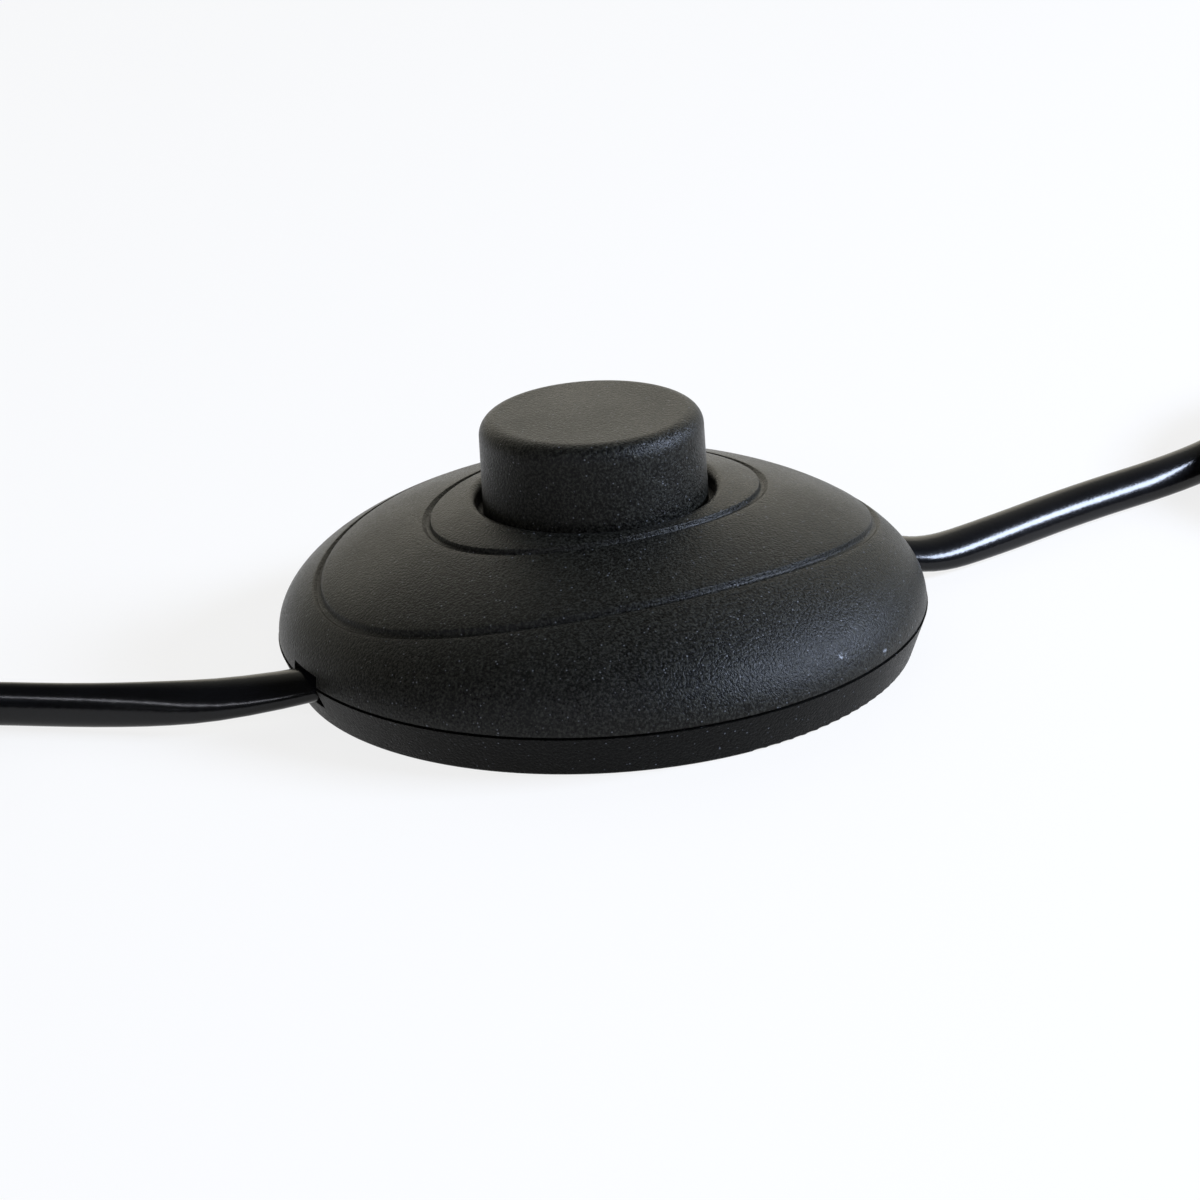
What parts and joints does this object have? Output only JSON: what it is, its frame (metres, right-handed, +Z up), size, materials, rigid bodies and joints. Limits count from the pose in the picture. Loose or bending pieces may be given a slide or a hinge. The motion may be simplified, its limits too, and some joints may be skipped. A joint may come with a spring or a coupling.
{
  "type": "inline foot switch",
  "caption": "Round domed inline foot switch with a central press button and ratchet mechanism, on a flat twin cord with a plug and a stripped lamp end.",
  "frame": {"origin": "centre of the housing's round base, on the surface that it stands on", "axes": "+Z up through the button, X along the cord through the two notches with the plug's side at -X, +Y across the cord"},
  "size_m": [0.3253, 0.0951, 0.0311],
  "materials": {
    "housing_plastic": "fine spark-eroded grain, nearly matt black",
    "button_plastic": "fine spark-eroded grain, nearly matt black",
    "driver_plastic": "smooth moulded, off-white",
    "rotor_plastic": "smooth moulded, off-white",
    "cup_plastic": "smooth moulded, dark grey",
    "clamp_plastic": "smooth moulded, dark grey",
    "brass": "stamped and drilled, satin",
    "spring_steel": "bright drawn wire and strip",
    "screw_steel": "zinc-plated, satin",
    "core_brown": "smooth flexible PVC insulation",
    "core_blue": "smooth flexible PVC insulation",
    "copper": "bare stranded copper",
    "cord_jacket": "glossy flexible black PVC",
    "plug_plastic": "semi-gloss moulded black PVC",
    "nickel": "bright nickel plate",
    "sleeve_plastic": "smooth black insulating sleeve"
  },
  "bodies": {
    "housing": {"top_cover": "housing_plastic", "base_shell": "housing_plastic", "pivot_clip": "spring_steel", "switch_cup": "cup_plastic", "button_spring": "spring_steel", "contact_in": "brass", "contact_out": "brass", "neutral_connector": "brass", "connector_screws": "screw_steel", "cord_clamp_in": "clamp_plastic", "cord_clamp_out": "clamp_plastic", "clamp_screws": "screw_steel", "cup_screws": "screw_steel", "terminal_screws": "screw_steel", "housing_screws": "screw_steel", "live_core_in": "core_brown", "neutral_core_in": "core_blue", "live_core_out": "core_brown", "neutral_core_out": "core_blue", "conductor_ends": "copper", "supply_cord": "cord_jacket", "lamp_cord": "cord_jacket", "supply_lead": "cord_jacket", "lamp_lead": "cord_jacket", "supply_coil": "cord_jacket", "lamp_coil": "cord_jacket", "plug_body": "plug_plastic", "plug_pins": "nickel", "plug_sleeves": "sleeve_plastic", "live_core_end": "core_brown", "neutral_core_end": "core_blue", "conductor_tips": "copper"},
    "button": {"button": "button_plastic", "ratchet_driver": "driver_plastic"},
    "rotor": {"ratchet_rotor": "rotor_plastic", "contact_bridge": "brass"}
  },
  "joints": [
    {"name": "button_press", "type": "slide", "parent": "housing", "child": "button", "axis": [0, 0, -1], "range_m": [0, 0.005], "stiffness_N_per_m": 1000, "springref_m": -0.004, "deforming": ["button_spring"]},
    {"name": "rotor_turn", "type": "hinge", "parent": "housing", "child": "rotor", "pos_m": [0, 0, 0.0082], "axis": [0, 0, 1], "range_deg": [-35.1, 0]}
  ],
  "couplings": [
    {"joint": "rotor_turn", "follows": "button_press", "rad_per_m": -122.17}
  ]
}
